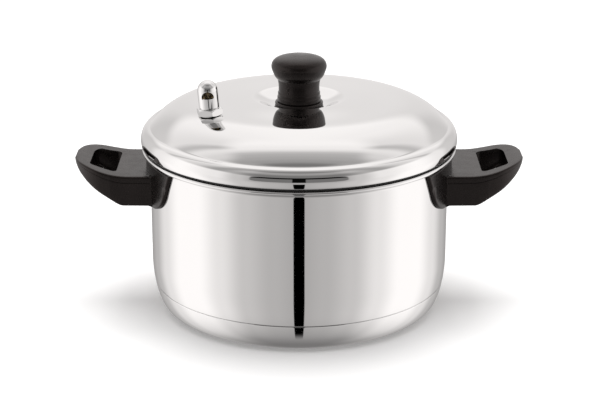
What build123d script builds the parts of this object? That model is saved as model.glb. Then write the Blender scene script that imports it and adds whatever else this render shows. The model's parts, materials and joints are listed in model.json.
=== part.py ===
from build123d import *
import math
import os

# Stovetop cooker: a 22 cm stainless steel pot with an encapsulated base, two side handles,
# a lift-off domed lid with a knob and a steam whistle, and a perforated steaming rack inside.
# Millimetres. The origin is the centre of the underside, +Z is up, the handles point along X
# and the whistle side of the lid faces -Y.

os.makedirs("parts", exist_ok=True)

# ---------------------------------------------------------------- driving dimensions

SHEET = 0.8                      # lid, base cap and small pressings
GAP = 0.3                        # between pieces that move apart

# Pot
POT_RADIUS = 110.0               # outside of the straight wall
POT_WALL = 1.0
CORNER_RADIAL = 12.3             # the elliptical corner between the wall and the flat base
CORNER_HEIGHT = 39.5
FLOOR_UNDERSIDE = 6.3            # underside of the pot's own floor
FLOOR_TOP = 7.3
CAP_TOP = 20.2                   # edge of the base cap, up the outside of the corner
CAP_GROOVE = 0.5                 # open line between the cap's edge and the pot
CAP_STEP = 0.2                   # how far the pot steps in behind the cap
CORE_TOP = 10.0                  # the aluminium core stops here, inside the cap
WALL_TOP = 115.3                 # the wall starts to flare here
FLARE_RADIUS = 4.0
FLARE_ANGLE = 62.0
FLARE_RUN = 1.2
BEAD_RADIUS = 1.45               # rolled rim
BEAD_CENTRE_RADIUS = 113.95
RIM_TOP = 121.5
BEAD_CENTRE_HEIGHT = RIM_TOP - BEAD_RADIUS

# Side handles
GRIP_BOTTOM = 84.3
GRIP_TOP = 106.7                 # top face at the pot
GRIP_HALF_WIDTH = 35.7
GRIP_REACH = 164.6               # tip, from the pot's axis
GRIP_DEPTH = 40.0                # deeper than the grip, for the cuts right through it
GRIP_TIP_HEIGHT = 114.3
GRIP_TIP_HALF_WIDTH = 9.0
GRIP_ROOT = POT_RADIUS - 6       # the grip is drawn from inside the wall and cut back to it
GRIP_TOP_RUN = (128, 106.9)      # (distance out, height) where the top face starts to rise
GRIP_TOP_CURVE = [(143, 109.6), (156, 113.2)]
GRIP_UNDER_RUN = (127.5, GRIP_BOTTOM)
GRIP_UNDER_CURVE = [(136, 88.2), (148, 95.8), (159, 105.0)]
GRIP_LIP_HEIGHT = 112.3          # underside of the thin tip
GRIP_SIDE_RUN = (137, 34.9)      # (distance out, half-width) where the sides start to round
GRIP_SIDE_CURVE = [(152, 30.0), (161, 20.5)]
SLOT_INNER = 131.8               # finger slot
SLOT_OUTER = 154.0
SLOT_INNER_HALF = 26.8
SLOT_OUTER_HALF = 21.5
SLOT_CORNER = 4.5
FLANGE_INNER = POT_RADIUS + 0.35
FLANGE_OUTER = 112.8
FLANGE_TOP = 116.6
FLANGE_TOP_HALF = 65.0
FLANGE_BOTTOM_HALF = 51.5
FLANGE_CORNER = 22.0
FLANGE_START = POT_RADIUS / 2    # where the flange's outline is drawn, inside the pot
BRACKET_SHEET = 1.0
BRACKET_HALF_WIDTH = 13.0
BRACKET_POCKET = 0.5             # room in the moulding all round the bracket
BRACKET_BOTTOM = 87.5
BRACKET_TOP = 103.5
TONGUE_REACH = 126.5
TONGUE_HALF_WIDTH = 8.0
TONGUE_BOTTOM = 94.0
TONGUE_TOP = 96.0
TONGUE_CORNER = 4.0
HANDLE_SCREW_X = 120.5           # the vertical screw through the tongue
SCREW_ROOM = 2.0                 # the hole runs on past the nut
SCREW_SEAT = GRIP_BOTTOM + 3.6   # the head is sunk into the underside

# Lid
LID_SEAL_TOP = 123.43            # underside of the hem flange
SEAL_BOTTOM = RIM_TOP + GAP
SEAL_OUTER = 114.2
HEM_INNER = 111.2
HEM_RADIUS = 1.2
ROLL_CENTRE_RADIUS = 109.3       # elliptical roll round the edge of the lid
ROLL_CENTRE_HEIGHT = 127.4
ROLL_RADIAL = 6.9
ROLL_HEIGHT = 9.8
ROLL_END_ANGLE = -18.0
CREASE_RADIUS = 109.3            # where the dome meets the roll
CREASE_HEIGHT = ROLL_CENTRE_HEIGHT + ROLL_HEIGHT
DISH_EDGE = 157.1                # top of the lid, at the edge of the dished centre
DISH_RADIUS = 35.0               # edge of the dished centre
DISH_EDGE_FALL = 0.05            # slope of the dome there
SEAT_RADIUS = 18.2               # flat seat of the knob
SEAT_HEIGHT = 152.3
DISH_CURVE = [(26.5, 154.7)]     # (radius, height) points the sheet passes through
DOME_CURVE = [(62, 155.3), (84, 153.0), (98, 147.0)]
VENT_HOLE_DEPTH = 12.0           # longer than the sheet is thick, on the slant
SKIRT_OUTER = 108.0              # locating skirt inside the pot's wall
SKIRT_BOTTOM = 112.0
SKIRT_TOP = 136.6

# Fasteners
M5_SHANK = 2.45
M5_HOLE = 2.5
M5_CLEARANCE = 2.8
M5_HEAD = 4.5
M5_HEAD_HEIGHT = 2.8
M5_COUNTERBORE = 5.1
M5_RECESS = 5.0                  # cross recess: length, width and depth
M5_RECESS_WIDTH = 1.0
M5_RECESS_DEPTH = 1.6
M5_HEAD_ROUND = 1.2
M5_NUT_ACROSS = 8.0
M5_NUT_HEIGHT = 4.0
WASHER = 1.0

# Knob, heights above the lid's seat
KNOB_HEIGHT = 36.0
KNOB_HEAD_RADIUS = 20.15
KNOB_HEAD_LEVEL = 28.2           # level of the widest part
KNOB_FOOT = 15.9
KNOB_STEPS = [(15.9, 5.7), (15.5, 5.9), (15.4, 9.0), (15.0, 9.2)]   # (radius, height)
KNOB_NECK = (14.9, 12.5)
KNOB_NECK_TOP = (15.6, 18.9)
KNOB_UNDERCUT = (18.9, 23.5)
KNOB_SHOULDER = (18.0, 32.7)
FERRULE_HEIGHT = 1.9
FERRULE_FOOT = 16.9
FERRULE_RADIUS = 17.6
FERRULE_LEVEL = 0.9              # level of its widest part
FERRULE_TOP = 16.9
INSERT_RADIUS = 4.0
INSERT_HEIGHT = 15.0
KNOB_SCREW_REACH = 12.0
KNOB_WASHER = 8.0

# Vent and whistle, heights above the lid along the vent's own axis
VENT_X = -63.2
VENT_Y = -38.2
VENT_TILT = 5.2                  # the vent stands square on the dome
VENT_SURFACE = 154.6
STEM_RADIUS = 3.0
STEM_BORE = 1.25
STEM_TOP = 6.3
STEM_BOTTOM = -8.0
STEM_CONE = 1.0                  # the coned seat at its top
STEM_CLEARANCE = 0.05
STEM_FLANGE_RADIUS = 6.5
STEM_FLANGE_TOP = -2.3
STEM_FLANGE = 1.4
VENT_NUT_BOTTOM = 0.75
VENT_NUT_TOP = 2.7
VENT_NUT_ACROSS = 8.0
VENT_WASHER = 0.6
VENT_WASHER_RADIUS = 4.5
GASKET = 1.2
GASKET_RADIUS = 6.3
WHISTLE_FOOT = 0.35
WHISTLE_MOUTH = 5.0              # hollow under the whistle, round the vent's nut
WHISTLE_MOUTH_TOP = 3.4
WHISTLE_BORE = STEM_RADIUS + 0.4
HEX_ACROSS = 16.9                # across the flats of the whistle's hexagonal base
HEX_TOP = 5.3
HEX_TURN = 44.0
BELL_RADIUS = 7.35
BELL_WALL = 1.0
BELL_TOP = 25.4
SPIGOT_RADIUS = BELL_RADIUS - BELL_WALL - 0.05
SPIGOT_TOP = 8.9
SEAT_TOP = 7.6                   # the soft seat that rests on the stem's cone
PASSAGE_RADIUS = 1.6
WINDOW_BOTTOM = 13.4
WINDOW_HALF_WIDTH = 4.2
WINDOW_HEIGHT = 5.4
LANGUID_SLIT = 0.8

# Steaming rack
RACK_RADIUS = 100.0
RACK_LEVEL = 36.0
RACK_RIM_TOP = 41.0
RACK_SHEET = 1.0
RACK_HOLE = 2.0
RACK_RING_STEP = 14.0
RACK_RINGS = 6
RACK_HOLES_PER_RING = 6
LEG_WIRE = 2.0
LEG_FOOT = FLOOR_TOP + GAP
LEG_SPREAD = 14.0                # half the width of one leg's loop
LEG_RADIUS = 76.0
LEG_BEND = 8.0

SIDES = ("right", "left")


# ---------------------------------------------------------------- shared shapes

def ellipse_angle(height, centre_height, semi_axis):
    """The ellipse parameter, in degrees, at a height below the ellipse's centre."""
    return math.degrees(math.asin((height - centre_height) / semi_axis))


def offset_points(edge, distance, count=9):
    """Points spread along an edge, moved to its right by a distance."""
    points = []
    for index in range(count):
        place = index / (count - 1)
        along = edge % place
        points.append((edge @ place) + Vector(along.Y, -along.X) * distance)
    return points


def ring(inner, outer, bottom, top):
    """A plain ring about the Z axis."""
    with BuildPart() as piece:
        with BuildSketch(Plane.XY.offset(bottom)):
            Circle(outer)
            Circle(inner, mode=Mode.SUBTRACT)
        extrude(amount=top - bottom)
    return piece


def mirrored(piece):
    """The same piece on the other side of the pot."""
    with BuildPart() as copy:
        mirror(piece.part, about=Plane.YZ)
    return copy


def pan_screw(plane, shank_length):
    """A cross-recess pan-head screw, head below the plane and shank above it."""
    with BuildPart() as screw:
        with BuildSketch(plane.offset(-M5_HEAD_HEIGHT)):
            Circle(M5_HEAD)
        extrude(amount=M5_HEAD_HEIGHT)
        fillet(screw.edges().sort_by(Axis.Z)[0], radius=M5_HEAD_ROUND)
        with BuildSketch(plane):
            Circle(M5_SHANK)
        extrude(amount=shank_length)
        with BuildSketch(plane.offset(-M5_HEAD_HEIGHT)):
            Rectangle(M5_RECESS, M5_RECESS_WIDTH)
            Rectangle(M5_RECESS_WIDTH, M5_RECESS)
        extrude(amount=M5_RECESS_DEPTH, mode=Mode.SUBTRACT)
    return screw


# ---------------------------------------------------------------- pot

CORNER_CENTRE = POT_RADIUS - CORNER_RADIAL
INNER_CORNER_RADIAL = CORNER_RADIAL - POT_WALL
INNER_CORNER_HEIGHT = CORNER_HEIGHT - FLOOR_TOP
STEP_CORNER_RADIAL = CORNER_RADIAL - CAP_STEP
STEP_CORNER_HEIGHT = CORNER_HEIGHT - FLOOR_UNDERSIDE
CAP_INNER_RADIAL = CORNER_RADIAL - SHEET
CAP_INNER_HEIGHT = CORNER_HEIGHT - SHEET
STEP_TOP = CAP_TOP + CAP_GROOVE

step_angle = ellipse_angle(STEP_TOP, CORNER_HEIGHT, STEP_CORNER_HEIGHT)
outer_angle = ellipse_angle(STEP_TOP, CORNER_HEIGHT, CORNER_HEIGHT)
flare = math.radians(FLARE_ANGLE)
flare_run = (FLARE_RUN * math.sin(flare), FLARE_RUN * math.cos(flare))

# One drawn shell: floor, corner with the step that takes the base cap, wall and flared rim.
with BuildPart() as pot_body:
    with BuildSketch(Plane.XZ):
        with BuildLine():
            under = Line((0, FLOOR_UNDERSIDE), (CORNER_CENTRE, FLOOR_UNDERSIDE))
            step_curve = EllipticalCenterArc(
                (CORNER_CENTRE, CORNER_HEIGHT), STEP_CORNER_RADIAL, STEP_CORNER_HEIGHT,
                start_angle=-90, arc_size=90 + step_angle,
            )
            corner = EllipticalCenterArc(
                (CORNER_CENTRE, CORNER_HEIGHT), CORNER_RADIAL, CORNER_HEIGHT,
                start_angle=outer_angle, arc_size=-outer_angle,
            )
            Line(step_curve @ 1, corner @ 0)
            wall = Line((POT_RADIUS, CORNER_HEIGHT), (POT_RADIUS, WALL_TOP))
            lip = JernArc(wall @ 1, (0, 1), FLARE_RADIUS, -FLARE_ANGLE)
            lip_end = Line(lip @ 1, (lip @ 1) + Vector(*flare_run))
            inside_lip = JernArc(
                (POT_RADIUS - POT_WALL, WALL_TOP), (0, 1), FLARE_RADIUS + POT_WALL, -FLARE_ANGLE,
            )
            inside_end = Line(inside_lip @ 1, (inside_lip @ 1) + Vector(*flare_run))
            Line(lip_end @ 1, inside_end @ 1)
            inside = Line(inside_lip @ 0, (POT_RADIUS - POT_WALL, CORNER_HEIGHT))
            inside_corner = EllipticalCenterArc(
                (CORNER_CENTRE, CORNER_HEIGHT), INNER_CORNER_RADIAL, INNER_CORNER_HEIGHT,
                start_angle=-90, arc_size=90,
            )
            Line(inside_corner @ 0, (0, FLOOR_TOP))
            Line((0, FLOOR_TOP), under @ 0)
        make_face()
        with Locations((BEAD_CENTRE_RADIUS, BEAD_CENTRE_HEIGHT)):
            Circle(BEAD_RADIUS)
    revolve(axis=Axis.Z)
pot_body.part.label = "pot_body"
export_step(pot_body.part, "parts/pot_body.step")

# The cap is a shallow pan bonded under the pot, flush with the corner above it.
cap_angle = ellipse_angle(CAP_TOP, CORNER_HEIGHT, CORNER_HEIGHT)
cap_inner_angle = ellipse_angle(CAP_TOP, CORNER_HEIGHT, CAP_INNER_HEIGHT)
with BuildPart() as base_cap:
    with BuildSketch(Plane.XZ):
        with BuildLine():
            Line((0, 0), (CORNER_CENTRE, 0))
            cap_outside = EllipticalCenterArc(
                (CORNER_CENTRE, CORNER_HEIGHT), CORNER_RADIAL, CORNER_HEIGHT,
                start_angle=-90, arc_size=90 + cap_angle,
            )
            cap_inside = EllipticalCenterArc(
                (CORNER_CENTRE, CORNER_HEIGHT), CAP_INNER_RADIAL, CAP_INNER_HEIGHT,
                start_angle=-90, arc_size=90 + cap_inner_angle,
            )
            Line(cap_outside @ 1, cap_inside @ 1)
            Line(cap_inside @ 0, (0, SHEET))
            Line((0, SHEET), (0, 0))
        make_face()
    revolve(axis=Axis.Z)
base_cap.part.label = "base_cap"
export_step(base_cap.part, "parts/base_cap.step")

# The aluminium heat-spreading disc fills the space between the cap and the pot's floor.
core_outer_angle = ellipse_angle(CORE_TOP, CORNER_HEIGHT, CAP_INNER_HEIGHT)
core_inner_angle = ellipse_angle(CORE_TOP, CORNER_HEIGHT, STEP_CORNER_HEIGHT)
with BuildPart() as base_core:
    with BuildSketch(Plane.XZ):
        with BuildLine():
            Line((0, SHEET), (CORNER_CENTRE, SHEET))
            core_outside = EllipticalCenterArc(
                (CORNER_CENTRE, CORNER_HEIGHT), CAP_INNER_RADIAL, CAP_INNER_HEIGHT,
                start_angle=-90, arc_size=90 + core_outer_angle,
            )
            core_inside = EllipticalCenterArc(
                (CORNER_CENTRE, CORNER_HEIGHT), STEP_CORNER_RADIAL, STEP_CORNER_HEIGHT,
                start_angle=-90, arc_size=90 + core_inner_angle,
            )
            Line(core_outside @ 1, core_inside @ 1)
            Line(core_inside @ 0, (0, FLOOR_UNDERSIDE))
            Line((0, FLOOR_UNDERSIDE), (0, SHEET))
        make_face()
    revolve(axis=Axis.Z)
base_core.part.label = "base_core"
export_step(base_core.part, "parts/base_core.step")


# ---------------------------------------------------------------- side handles

# A plate spot-welded to the wall, with a tongue bent out of it for the handle's screw.
with BuildPart() as bracket:
    with BuildSketch(Plane.XY.offset(BRACKET_BOTTOM)):
        Circle(POT_RADIUS + BRACKET_SHEET)
        Circle(POT_RADIUS, mode=Mode.SUBTRACT)
        with Locations((POT_RADIUS, 0)):
            Rectangle(POT_RADIUS, 2 * BRACKET_HALF_WIDTH, mode=Mode.INTERSECT)
    extrude(amount=BRACKET_TOP - BRACKET_BOTTOM)
    with BuildSketch(Plane.XY.offset(TONGUE_BOTTOM)) as tongue:
        with Locations(((POT_RADIUS + TONGUE_REACH + BRACKET_SHEET / 2) / 2, 0)):
            Rectangle(TONGUE_REACH - POT_RADIUS - BRACKET_SHEET / 2, 2 * TONGUE_HALF_WIDTH)
        fillet(tongue.vertices().group_by(Axis.X)[-1], radius=TONGUE_CORNER)
        with Locations((HANDLE_SCREW_X, 0)):
            Circle(M5_CLEARANCE, mode=Mode.SUBTRACT)
    extrude(amount=TONGUE_TOP - TONGUE_BOTTOM)

# The moulded backing flange that hugs the wall behind the grip.
with BuildPart() as flange:
    with BuildSketch(Plane.YZ.offset(FLANGE_START)) as flange_outline:
        with BuildLine():
            Polyline(
                (-FLANGE_TOP_HALF, FLANGE_TOP),
                (-FLANGE_BOTTOM_HALF, GRIP_BOTTOM),
                (FLANGE_BOTTOM_HALF, GRIP_BOTTOM),
                (FLANGE_TOP_HALF, FLANGE_TOP),
                close=True,
            )
        make_face()
        fillet(flange_outline.vertices().group_by(Axis.Y)[0], radius=FLANGE_CORNER)
    extrude(amount=POT_RADIUS)
    with BuildSketch(Plane.XY.offset(GRIP_BOTTOM)):
        Circle(FLANGE_OUTER)
        Circle(FLANGE_INNER, mode=Mode.SUBTRACT)
    extrude(amount=FLANGE_TOP - GRIP_BOTTOM, mode=Mode.INTERSECT)

# The grip is its side outline pulled across, trimmed to its plan outline, with a finger slot.
with BuildPart() as grip:
    with BuildSketch(Plane.XZ):
        with BuildLine():
            top_run = Line((GRIP_ROOT, GRIP_TOP), GRIP_TOP_RUN)
            top_rise = Spline(
                top_run @ 1, *GRIP_TOP_CURVE, (GRIP_REACH, GRIP_TIP_HEIGHT),
                tangents=[(1, 0), (1, 0)],
            )
            under_run = Line((GRIP_ROOT, GRIP_BOTTOM), GRIP_UNDER_RUN)
            under_rise = Spline(
                under_run @ 1, *GRIP_UNDER_CURVE, (GRIP_REACH, GRIP_LIP_HEIGHT),
                tangents=[(1, 0), (0.35, 1)],
            )
            Line(top_rise @ 1, under_rise @ 1)
            Line(top_run @ 0, under_run @ 0)
        make_face()
    extrude(amount=GRIP_HALF_WIDTH + 1, both=True)
    with BuildSketch(Plane.XY.offset(GRIP_BOTTOM - 1)):
        with BuildLine():
            side_run = Line((GRIP_ROOT, GRIP_HALF_WIDTH), GRIP_SIDE_RUN)
            nose = Spline(
                side_run @ 1, *GRIP_SIDE_CURVE, (GRIP_REACH, GRIP_TIP_HALF_WIDTH),
                tangents=[(1, -0.08), (0.06, -1)],
            )
            Line(nose @ 1, (GRIP_REACH, 0))
            mirror(about=Plane.XZ)
            Line(side_run @ 0, (GRIP_ROOT, -GRIP_HALF_WIDTH))
        make_face()
    extrude(amount=GRIP_DEPTH, mode=Mode.INTERSECT)
    with BuildSketch(Plane.XY.offset(GRIP_BOTTOM - 1)) as slot_outline:
        with BuildLine():
            Polyline(
                (SLOT_INNER, SLOT_INNER_HALF), (SLOT_OUTER, SLOT_OUTER_HALF),
                (SLOT_OUTER, -SLOT_OUTER_HALF), (SLOT_INNER, -SLOT_INNER_HALF), close=True,
            )
        make_face()
        fillet(slot_outline.vertices(), radius=SLOT_CORNER)
    extrude(amount=GRIP_DEPTH, mode=Mode.SUBTRACT)

# Grip and flange are one moulding, hollowed for the bracket, its nut and the screw's head.
with BuildPart() as handle:
    add(grip.part)
    add(flange.part)
    Cylinder(FLANGE_INNER, 300, mode=Mode.SUBTRACT)
    with BuildSketch(Plane.XY.offset(BRACKET_BOTTOM - BRACKET_POCKET)):
        Circle(POT_RADIUS + BRACKET_SHEET + GAP)
        with Locations((POT_RADIUS, 0)):
            Rectangle(
                POT_RADIUS, 2 * (BRACKET_HALF_WIDTH + BRACKET_POCKET), mode=Mode.INTERSECT,
            )
    extrude(amount=BRACKET_TOP - BRACKET_BOTTOM + 2 * BRACKET_POCKET, mode=Mode.SUBTRACT)
    with BuildSketch(Plane.XY.offset(TONGUE_BOTTOM)):
        with Locations(((POT_RADIUS + TONGUE_REACH) / 2, 0)):
            Rectangle(
                TONGUE_REACH - POT_RADIUS + 2 * BRACKET_POCKET,
                2 * (TONGUE_HALF_WIDTH + BRACKET_POCKET),
            )
    extrude(amount=TONGUE_TOP - TONGUE_BOTTOM + M5_NUT_HEIGHT + GAP, mode=Mode.SUBTRACT)
    with BuildSketch(Plane.XY.offset(GRIP_BOTTOM - 1)):
        with Locations((HANDLE_SCREW_X, 0)):
            Circle(M5_CLEARANCE)
    extrude(amount=TONGUE_TOP + M5_NUT_HEIGHT + SCREW_ROOM - GRIP_BOTTOM, mode=Mode.SUBTRACT)
    with BuildSketch(Plane.XY.offset(GRIP_BOTTOM - 1)):
        with Locations((HANDLE_SCREW_X, 0)):
            Circle(M5_COUNTERBORE)
    extrude(amount=1 + SCREW_SEAT + WASHER - GRIP_BOTTOM, mode=Mode.SUBTRACT)

screw_plane = Plane(origin=(HANDLE_SCREW_X, 0, SCREW_SEAT))
handle_screw = pan_screw(screw_plane, TONGUE_TOP + M5_NUT_HEIGHT - SCREW_SEAT)

with BuildPart() as handle_washer:
    with BuildSketch(screw_plane):
        Circle(M5_HEAD)
        Circle(M5_HOLE, mode=Mode.SUBTRACT)
    extrude(amount=WASHER)

with BuildPart() as handle_nut:
    with BuildSketch(Plane(origin=(HANDLE_SCREW_X, 0, TONGUE_TOP))):
        RegularPolygon(M5_NUT_ACROSS / 2, 6, major_radius=False)
        Circle(M5_HOLE, mode=Mode.SUBTRACT)
    extrude(amount=M5_NUT_HEIGHT)

HANDLE_PIECES = {
    "handle_bracket": bracket,
    "handle": handle,
    "handle_screw": handle_screw,
    "handle_washer": handle_washer,
    "handle_nut": handle_nut,
}
for piece_name, right_piece in HANDLE_PIECES.items():
    for side in SIDES:
        piece = right_piece if side == "right" else mirrored(right_piece)
        piece.part.label = f"{piece_name}_{side}"
        export_step(piece.part, f"parts/{piece_name}_{side}.step")


# ---------------------------------------------------------------- lid

# The vent leans outward, square to the lid's shoulder. Its plane's X axis runs across the lean.
vent_direction = math.atan2(VENT_Y, VENT_X)
vent_lean = math.radians(VENT_TILT)
vent_plane = Plane(
    origin=(VENT_X, VENT_Y, VENT_SURFACE),
    x_dir=(math.cos(vent_direction + math.pi / 2), math.sin(vent_direction + math.pi / 2), 0),
    z_dir=(
        math.sin(vent_lean) * math.cos(vent_direction),
        math.sin(vent_lean) * math.sin(vent_direction),
        math.cos(vent_lean),
    ),
)

# One spun sheet: dished seat, dome, crease, elliptical roll and the hem turned in under it.
with BuildPart() as lid:
    with BuildSketch(Plane.XZ):
        with BuildLine():
            seat = Line((0, SEAT_HEIGHT), (SEAT_RADIUS, SEAT_HEIGHT))
            dish = Spline(
                seat @ 1, *DISH_CURVE, (DISH_RADIUS, DISH_EDGE),
                tangents=[(1, 0), (1, -DISH_EDGE_FALL)],
            )
            dome = Spline(
                dish @ 1, *DOME_CURVE, (CREASE_RADIUS, CREASE_HEIGHT),
                tangents=[(1, -DISH_EDGE_FALL), (0.66, -0.75)],
            )
            roll = EllipticalCenterArc(
                (ROLL_CENTRE_RADIUS, ROLL_CENTRE_HEIGHT), ROLL_RADIAL, ROLL_HEIGHT,
                start_angle=90, arc_size=ROLL_END_ANGLE - 90,
            )
            roll_end = roll % 1
            hem_turn = 180 - math.degrees(math.atan2(-roll_end.Y, roll_end.X))
            hem = JernArc(roll @ 1, roll_end, HEM_RADIUS, -hem_turn)
            hem_flange = Line(hem @ 1, (HEM_INNER, (hem @ 1).Y))
            inner_seat = Line((0, SEAT_HEIGHT - SHEET), (SEAT_RADIUS, SEAT_HEIGHT - SHEET))
            inner_dish = Spline(*offset_points(dish, SHEET))
            inner_dome = Spline(*offset_points(dome, SHEET))
            inner_roll = Spline(*offset_points(roll, SHEET))
            inner_hem = JernArc(inner_roll @ 1, roll_end, HEM_RADIUS - SHEET, -hem_turn)
            Line(inner_dome @ 1, inner_roll @ 0)
            Polyline(inner_hem @ 1, (HEM_INNER, (inner_hem @ 1).Y), hem_flange @ 1)
            Line(inner_seat @ 0, seat @ 0)
        make_face()
    revolve(axis=Axis.Z)
    with BuildSketch(Plane.XY.offset(SEAT_HEIGHT - SHEET)):
        Circle(M5_CLEARANCE)
    extrude(amount=SHEET, mode=Mode.SUBTRACT)
    with BuildSketch(vent_plane.offset(-VENT_HOLE_DEPTH / 2)):
        Circle(STEM_RADIUS + GAP)
    extrude(amount=VENT_HOLE_DEPTH, mode=Mode.SUBTRACT)
lid.part.label = "lid"
export_step(lid.part, "parts/lid.step")

# A band spot-welded under the lid keeps it central in the pot.
lid_skirt = ring(SKIRT_OUTER - SHEET, SKIRT_OUTER, SKIRT_BOTTOM, SKIRT_TOP)
lid_skirt.part.label = "lid_skirt"
export_step(lid_skirt.part, "parts/lid_skirt.step")

lid_seal = ring(HEM_INNER, SEAL_OUTER, SEAL_BOTTOM, LID_SEAL_TOP)
lid_seal.part.label = "lid_seal"
export_step(lid_seal.part, "parts/lid_seal.step")


# ---------------------------------------------------------------- knob

seat_plane = Plane.XY.offset(SEAT_HEIGHT)

# Round base collar that the knob stands on.
with BuildPart() as knob_ferrule:
    with BuildSketch(Plane.XZ):
        with BuildLine():
            foot = Line((M5_CLEARANCE, SEAT_HEIGHT), (FERRULE_FOOT, SEAT_HEIGHT))
            bulge = Spline(
                foot @ 1, (FERRULE_RADIUS, SEAT_HEIGHT + FERRULE_LEVEL),
                (FERRULE_TOP, SEAT_HEIGHT + FERRULE_HEIGHT), tangents=[(1, 0.25), (-1, 0.2)],
            )
            Polyline(bulge @ 1, (M5_CLEARANCE, SEAT_HEIGHT + FERRULE_HEIGHT), foot @ 0)
        make_face()
    revolve(axis=Axis.Z)
knob_ferrule.part.label = "knob_ferrule"
export_step(knob_ferrule.part, "parts/knob_ferrule.step")

# Turned knob: stepped foot, waisted neck, undercut, bulged head with a low dome.
def on_seat(point):
    """A point of the knob's outline, moved up on to the lid."""
    return (point[0], SEAT_HEIGHT + point[1])


knob_base = SEAT_HEIGHT + FERRULE_HEIGHT
with BuildPart() as knob:
    with BuildSketch(Plane.XZ):
        with BuildLine():
            Polyline(
                on_seat((0, KNOB_HEIGHT)), (0, knob_base + INSERT_HEIGHT),
                (INSERT_RADIUS, knob_base + INSERT_HEIGHT), (INSERT_RADIUS, knob_base),
                (KNOB_FOOT, knob_base), *[on_seat(step) for step in KNOB_STEPS],
            )
            Spline(
                on_seat(KNOB_STEPS[-1]), on_seat(KNOB_NECK), on_seat(KNOB_NECK_TOP),
                tangents=[(-0.02, 1), (0.15, 1)],
            )
            Spline(
                on_seat(KNOB_NECK_TOP), on_seat(KNOB_UNDERCUT),
                on_seat((KNOB_HEAD_RADIUS, KNOB_HEAD_LEVEL)), on_seat(KNOB_SHOULDER),
                on_seat((0, KNOB_HEIGHT)), tangents=[(1, 0.9), (-1, 0)],
            )
        make_face()
    revolve(axis=Axis.Z)
knob.part.label = "knob"
export_step(knob.part, "parts/knob.step")

knob_insert = ring(M5_HOLE, INSERT_RADIUS, knob_base, knob_base + INSERT_HEIGHT)
knob_insert.part.label = "knob_insert"
export_step(knob_insert.part, "parts/knob_insert.step")

lid_underside = SEAT_HEIGHT - SHEET
knob_washer = ring(M5_CLEARANCE, KNOB_WASHER, lid_underside - WASHER, lid_underside)
knob_washer.part.label = "knob_washer"
export_step(knob_washer.part, "parts/knob_washer.step")

knob_screw = pan_screw(
    Plane.XY.offset(lid_underside - WASHER), SHEET + WASHER + FERRULE_HEIGHT + KNOB_SCREW_REACH,
)
knob_screw.part.label = "knob_screw"
export_step(knob_screw.part, "parts/knob_screw.step")


# ---------------------------------------------------------------- vent

# Steam pipe through the lid, with a flange below and a coned seat on top.
with BuildPart() as vent_stem:
    with BuildSketch(vent_plane.offset(STEM_BOTTOM)):
        Circle(STEM_RADIUS)
    extrude(amount=STEM_TOP - STEM_BOTTOM)
    chamfer(vent_stem.edges().sort_by(Axis.Z)[-1], length=STEM_CONE)
    with BuildSketch(vent_plane.offset(STEM_FLANGE_TOP - STEM_FLANGE)):
        Circle(STEM_FLANGE_RADIUS)
    extrude(amount=STEM_FLANGE)
    with BuildSketch(vent_plane.offset(STEM_BOTTOM)):
        Circle(STEM_BORE)
    extrude(amount=STEM_TOP - STEM_BOTTOM, mode=Mode.SUBTRACT)
vent_stem.part.label = "vent_stem"
export_step(vent_stem.part, "parts/vent_stem.step")

with BuildPart() as vent_gasket:
    with BuildSketch(vent_plane.offset(STEM_FLANGE_TOP)):
        Circle(GASKET_RADIUS)
        Circle(STEM_RADIUS, mode=Mode.SUBTRACT)
    extrude(amount=GASKET)
vent_gasket.part.label = "vent_gasket"
export_step(vent_gasket.part, "parts/vent_gasket.step")

with BuildPart() as vent_washer:
    with BuildSketch(vent_plane.offset(VENT_NUT_BOTTOM - VENT_WASHER)):
        Circle(VENT_WASHER_RADIUS)
        Circle(STEM_RADIUS + STEM_CLEARANCE, mode=Mode.SUBTRACT)
    extrude(amount=VENT_WASHER)
vent_washer.part.label = "vent_washer"
export_step(vent_washer.part, "parts/vent_washer.step")

with BuildPart() as vent_nut:
    with BuildSketch(vent_plane.offset(VENT_NUT_BOTTOM)):
        RegularPolygon(VENT_NUT_ACROSS / 2, 6, major_radius=False)
        Circle(STEM_RADIUS + STEM_CLEARANCE, mode=Mode.SUBTRACT)
    extrude(amount=VENT_NUT_TOP - VENT_NUT_BOTTOM)
vent_nut.part.label = "vent_nut"
export_step(vent_nut.part, "parts/vent_nut.step")


# ---------------------------------------------------------------- whistle

# The whistle is drawn upright on the Z axis and then stood on the vent. Its mouth faces -Y.

def on_vent(upright):
    """The same piece moved from the Z axis to the vent's axis."""
    with BuildPart() as piece:
        add(vent_plane.location * mouth_turn * upright.part)
    return piece


mouth_turn = Location((0, 0, 0), (0, 0, -math.degrees(vent_direction + math.pi / 2)))

# Hexagonal base that pushes on to the vent's pipe, with a spigot for the bell.
with BuildPart() as base_upright:
    with BuildSketch(Plane.XY.offset(WHISTLE_FOOT)):
        RegularPolygon(HEX_ACROSS / 2, 6, major_radius=False, rotation=HEX_TURN)
    extrude(amount=HEX_TOP - WHISTLE_FOOT)
    with BuildSketch(Plane.XY.offset(HEX_TOP)):
        Circle(SPIGOT_RADIUS)
    extrude(amount=SPIGOT_TOP - HEX_TOP)
    with BuildSketch(Plane.XY.offset(WHISTLE_FOOT)):
        Circle(WHISTLE_MOUTH)
    extrude(amount=WHISTLE_MOUTH_TOP - WHISTLE_FOOT, mode=Mode.SUBTRACT)
    with BuildSketch(Plane.XY.offset(WHISTLE_MOUTH_TOP)):
        Circle(WHISTLE_BORE)
    extrude(amount=SEAT_TOP - WHISTLE_MOUTH_TOP, mode=Mode.SUBTRACT)
    with BuildSketch(Plane.XY.offset(SEAT_TOP)):
        Circle(PASSAGE_RADIUS)
    extrude(amount=SPIGOT_TOP - SEAT_TOP, mode=Mode.SUBTRACT)
whistle_base = on_vent(base_upright)
whistle_base.part.label = "whistle_base"
export_step(whistle_base.part, "parts/whistle_base.step")

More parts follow.
